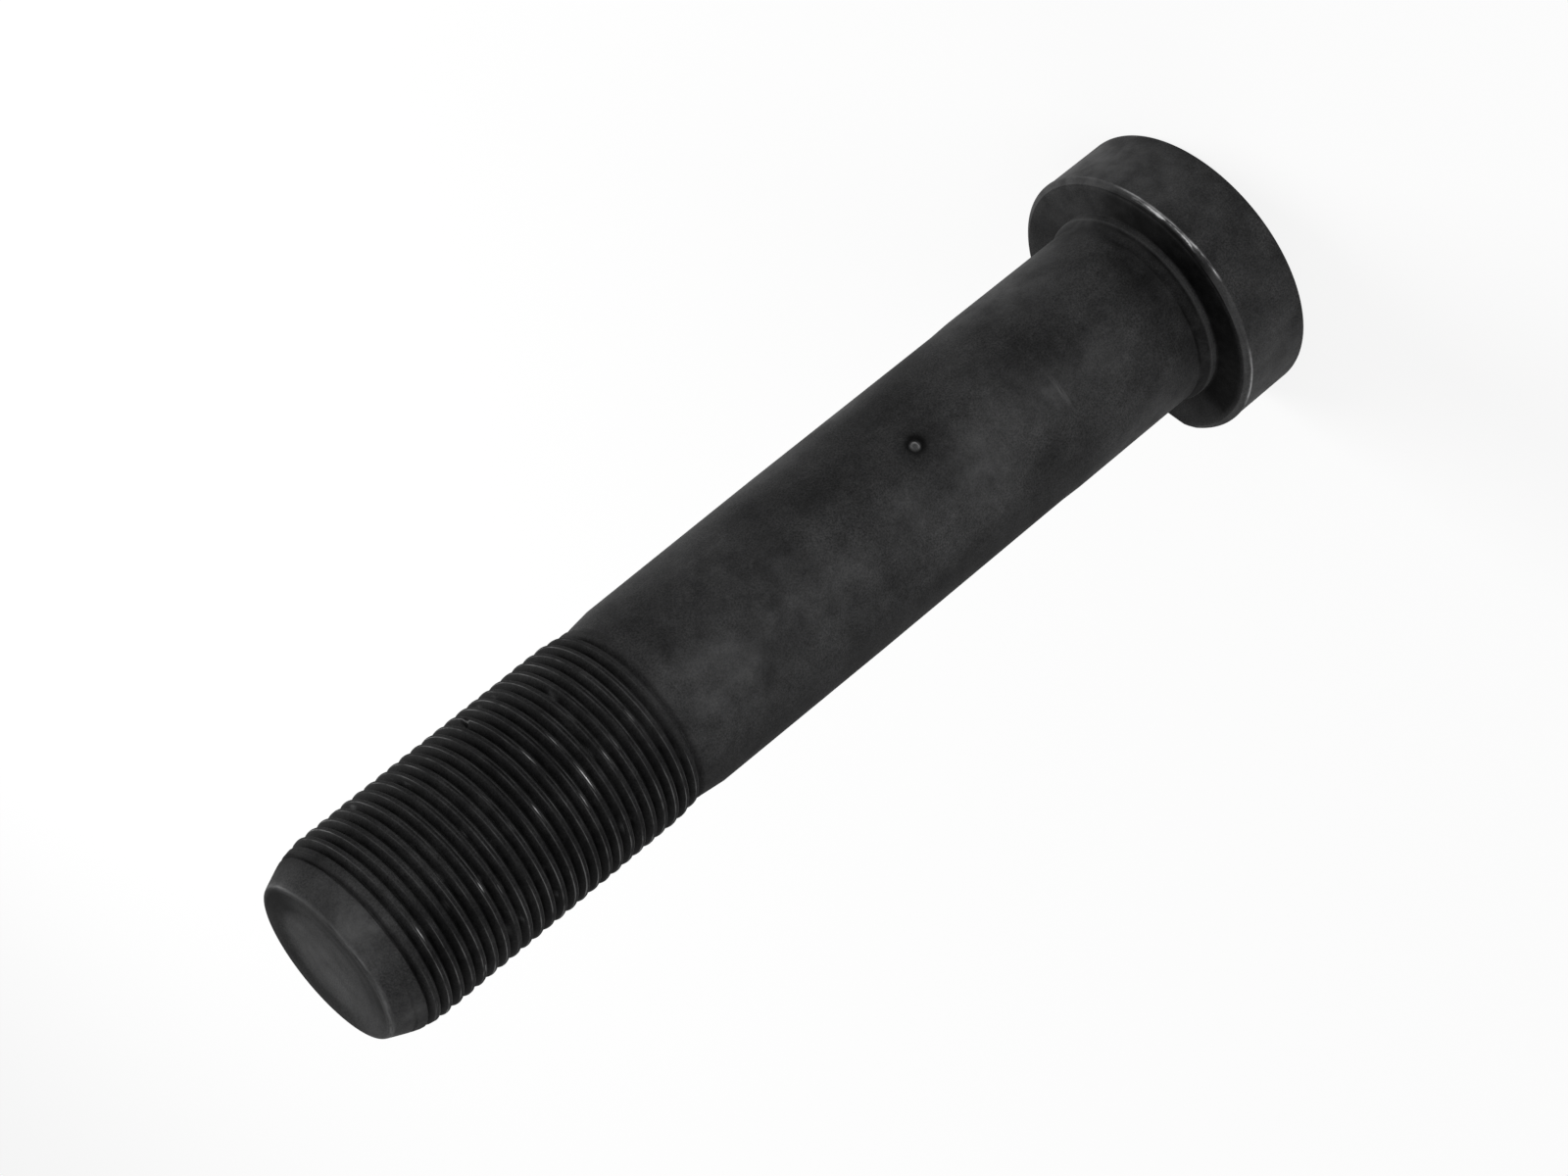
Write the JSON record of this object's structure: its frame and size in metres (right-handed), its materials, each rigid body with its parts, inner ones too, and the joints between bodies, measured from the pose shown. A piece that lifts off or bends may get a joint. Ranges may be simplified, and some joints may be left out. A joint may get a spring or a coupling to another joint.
{
  "type": "wheel stud",
  "caption": "Black phosphated steel wheel stud with a D-shaped head, a plain press-in shank and a rolled fine thread with a lead cone",
  "frame": {"origin": "centre of the head's outer face, on the stud's axis", "axes": "+Z along the axis towards the threaded end, +X out of the flat on the head"},
  "size_m": [0.0292, 0.0322, 0.1246],
  "materials": {
    "black_steel": "black phosphate, satin"
  },
  "bodies": {
    "root": {"wheel_stud": "black_steel"}
  },
  "joints": []
}
